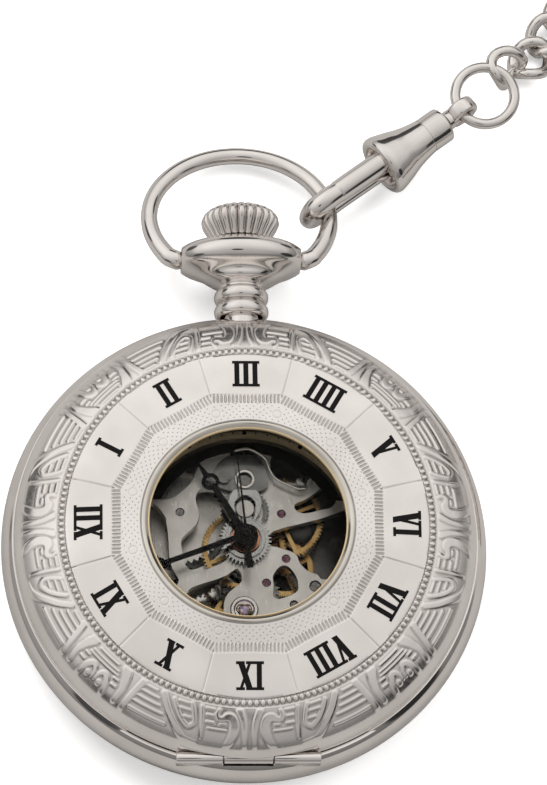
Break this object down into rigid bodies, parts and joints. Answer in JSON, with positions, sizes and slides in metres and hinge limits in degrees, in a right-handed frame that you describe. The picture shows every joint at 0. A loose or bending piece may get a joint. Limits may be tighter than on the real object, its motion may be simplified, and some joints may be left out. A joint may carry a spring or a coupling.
{
  "type": "pocket watch",
  "caption": "Half-hunter pocket watch with a hinged lid, a hand-wound skeleton movement, a crown, a bow, a swivel clasp and a curb chain.",
  "frame": {"origin": "centre of the flat of the back cover, on the plane that the watch rests on", "axes": "+Z out of the dial, +Y towards the crown, +X towards the numeral III side's right, where the chain lies"},
  "size_m": [0.1211, 0.0991, 0.014],
  "materials": {
    "case_nickel": "polished warm nickel",
    "plate_nickel": "fine brushed nickel",
    "steel": "polished steel",
    "brass": "gilt, satin",
    "gilt": "gilt, polished",
    "gilt_rim": "pale gilt, polished",
    "black_lacquer": "black, satin",
    "ruby": "polished synthetic ruby, dark red",
    "glass": "clear polished"
  },
  "bodies": {
    "case": {"case_middle": "case_nickel", "back_cover": "case_nickel", "pendant": "case_nickel", "inner_bezel": "case_nickel", "inner_crystal": "glass", "lid_hinge_pin": "steel", "lid_lift_spring": "steel", "movement_ring": "black_lacquer", "chapter_ring": "gilt", "main_plate": "plate_nickel", "third_jewel": "ruby", "fourth_jewel": "ruby", "escape_jewel": "ruby", "balance_shock_ring": "plate_nickel", "balance_cap_jewel": "ruby", "barrel_bridge": "plate_nickel", "train_bridge": "plate_nickel", "balance_cock": "plate_nickel", "pallet_bridge": "plate_nickel", "keyless_cover": "plate_nickel", "setting_lever_spring": "steel", "keyless_screw": "steel", "hairspring": "steel", "chain": "case_nickel", "chain_coil": "case_nickel", "chain_bar": "case_nickel"},
    "front_lid": {"lid": "case_nickel", "lid_window_rim": "gilt_rim", "lid_crystal": "glass"},
    "catch": {"lid_catch_spring": "steel"},
    "crown_pull": {"crown_sleeve": "brass"},
    "crown_and_stem": {"crown": "case_nickel", "stem": "steel"},
    "winding_pinion": {"winding_pinion": "steel"},
    "sliding_pinion": {"sliding_pinion": "steel"},
    "crown_wheel": {"crown_wheel": "steel"},
    "barrel_arbor": {"barrel_arbor": "steel", "ratchet_wheel": "plate_nickel"},
    "click": {"click": "steel"},
    "barrel": {"barrel": "plate_nickel", "mainspring": "steel"},
    "centre_wheel": {"centre_wheel": "brass"},
    "third_wheel": {"third_wheel": "brass"},
    "fourth_wheel": {"fourth_wheel": "brass"},
    "seconds": {"centre_seconds_arbor": "steel", "second_hand": "black_lacquer"},
    "escape_wheel": {"escape_wheel": "steel"},
    "pallet_fork": {"pallet_fork": "steel"},
    "balance": {"balance_wheel": "brass"},
    "minute": {"cannon_pinion": "steel", "minute_hand": "black_lacquer"},
    "minute_wheel": {"minute_wheel": "steel"},
    "hour": {"hour_wheel": "plate_nickel", "hour_hand": "black_lacquer"},
    "setting_wheel": {"setting_wheel": "steel"},
    "bow": {"bow": "case_nickel"},
    "clasp": {"clasp_body": "case_nickel"},
    "clasp_gate": {"clasp_gate": "case_nickel"},
    "swivel": {"swivel_eye": "case_nickel"},
    "jump_ring": {"jump_ring": "case_nickel"}
  },
  "joints": [
    {"name": "lid_hinge", "type": "hinge", "parent": "case", "child": "front_lid", "pos_m": [0, -0.0234, 0.0086], "axis": [1, 0, 0], "range_deg": [0, 100]},
    {"name": "catch_slide", "type": "slide", "parent": "case", "child": "catch", "axis": [0, -1, 0], "range_m": [0, 0.00025], "stiffness_N_per_m": 800},
    {"name": "crown_pull", "type": "slide", "parent": "case", "child": "crown_pull", "axis": [0, 1, 0], "range_m": [-0.00045, 0.001]},
    {"name": "crown_spin", "type": "hinge", "parent": "crown_pull", "child": "crown_and_stem", "pos_m": [0, 0.034, 0.006], "axis": [0, 1, 0], "continuous": true},
    {"name": "winding_pinion_spin", "type": "hinge", "parent": "case", "child": "winding_pinion", "pos_m": [0, 0.0104, 0.006], "axis": [0, 1, 0], "continuous": true},
    {"name": "sliding_pinion_spin", "type": "hinge", "parent": "case", "child": "sliding_pinion", "pos_m": [0, 0.0085, 0.006], "axis": [0, 1, 0], "continuous": true},
    {"name": "crown_wheel_spin", "type": "hinge", "parent": "case", "child": "crown_wheel", "pos_m": [0, 0.0073, 0.0044], "axis": [0, 0, 1], "continuous": true},
    {"name": "barrel_arbor_spin", "type": "hinge", "parent": "case", "child": "barrel_arbor", "pos_m": [-0.00665, 0.00323, 0.0044], "axis": [0, 0, 1], "continuous": true},
    {"name": "click_pivot", "type": "hinge", "parent": "case", "child": "click", "pos_m": [-0.01148, -0.00015, 0.0044], "axis": [0, 0, 1], "range_deg": [-6, 10], "stiffness_Nm_per_rad": 0.0001},
    {"name": "seconds_spin", "type": "hinge", "parent": "case", "child": "seconds", "pos_m": [0, 0, 0.0099], "axis": [0, 0, 1], "continuous": true},
    {"name": "third_wheel_spin", "type": "hinge", "parent": "case", "child": "third_wheel", "pos_m": [0.00379, 0.00309, 0.0044], "axis": [0, 0, 1], "continuous": true},
    {"name": "fourth_wheel_spin", "type": "hinge", "parent": "case", "child": "fourth_wheel", "pos_m": [0.0042, -0.00179, 0.0044], "axis": [0, 0, 1], "continuous": true},
    {"name": "centre_wheel_spin", "type": "hinge", "parent": "case", "child": "centre_wheel", "pos_m": [0, 0, 0.0044], "axis": [0, 0, 1], "continuous": true},
    {"name": "barrel_spin", "type": "hinge", "parent": "case", "child": "barrel", "pos_m": [-0.00665, 0.00323, 0.004], "axis": [0, 0, 1], "continuous": true},
    {"name": "escape_wheel_spin", "type": "hinge", "parent": "case", "child": "escape_wheel", "pos_m": [0.00215, -0.00439, 0.0044], "axis": [0, 0, 1], "continuous": true},
    {"name": "pallet_fork_pivot", "type": "hinge", "parent": "case", "child": "pallet_fork", "pos_m": [0.00093, -0.00591, 0.0044], "axis": [0, 0, 1], "range_deg": [-7, 7]},
    {"name": "balance_swing", "type": "hinge", "parent": "case", "child": "balance", "pos_m": [-0.00017, -0.00729, 0.003], "axis": [0, 0, 1], "range_deg": [-270, 270], "stiffness_Nm_per_rad": 0.000001},
    {"name": "minute_spin", "type": "hinge", "parent": "case", "child": "minute", "pos_m": [0, 0, 0.0096], "axis": [0, 0, 1], "continuous": true},
    {"name": "minute_wheel_spin", "type": "hinge", "parent": "case", "child": "minute_wheel", "pos_m": [0, 0.00325, 0.0075], "axis": [0, 0, 1], "continuous": true},
    {"name": "hour_spin", "type": "hinge", "parent": "case", "child": "hour", "pos_m": [0, 0, 0.0092], "axis": [0, 0, 1], "continuous": true},
    {"name": "setting_wheel_spin", "type": "hinge", "parent": "case", "child": "setting_wheel", "pos_m": [0, 0.00643, 0.0075], "axis": [0, 0, 1], "continuous": true},
    {"name": "bow_swing", "type": "hinge", "parent": "case", "child": "bow", "pos_m": [0, 0.0316, 0.006], "axis": [1, 0, 0], "range_deg": [-83, 117]},
    {"name": "clasp_swing", "type": "hinge", "parent": "bow", "child": "clasp", "pos_m": [0.00935, 0.03888, 0.00377], "axis": [-0.2217, 0.9325, -0.2851], "range_deg": [-15, 75]},
    {"name": "gate_pivot", "type": "hinge", "parent": "clasp", "child": "clasp_gate", "pos_m": [0.01474, 0.04294, 0.00557], "axis": [0.6018, -0.7986, 0], "range_deg": [0, 18], "stiffness_Nm_per_rad": 0.02},
    {"name": "swivel_turn", "type": "hinge", "parent": "clasp", "child": "swivel", "pos_m": [0.01973, 0.04671, 0.00412], "axis": [0.7986, 0.6018, 0], "continuous": true},
    {"name": "jump_ring_swing", "type": "hinge", "parent": "swivel", "child": "jump_ring", "pos_m": [0.02397, 0.0499, 0.00412], "axis": [-0.6018, 0.7986, 0], "range_deg": [-25, 25]}
  ],
  "couplings": [
    {"joint": "winding_pinion_spin", "follows": "crown_spin", "ratio": 1},
    {"joint": "sliding_pinion_spin", "follows": "crown_spin", "ratio": 1},
    {"joint": "crown_wheel_spin", "follows": "crown_spin", "ratio": 0.33333},
    {"joint": "barrel_arbor_spin", "follows": "crown_spin", "ratio": -0.22727},
    {"joint": "third_wheel_spin", "follows": "seconds_spin", "ratio": -0.12},
    {"joint": "fourth_wheel_spin", "follows": "seconds_spin", "ratio": 1},
    {"joint": "centre_wheel_spin", "follows": "seconds_spin", "ratio": 0.016667},
    {"joint": "barrel_spin", "follows": "seconds_spin", "ratio": -0.0027778},
    {"joint": "escape_wheel_spin", "follows": "seconds_spin", "ratio": -10},
    {"joint": "minute_wheel_spin", "follows": "minute_spin", "ratio": -0.33333},
    {"joint": "hour_spin", "follows": "minute_spin", "ratio": 0.083333},
    {"joint": "setting_wheel_spin", "follows": "minute_spin", "ratio": 1.0909}
  ]
}
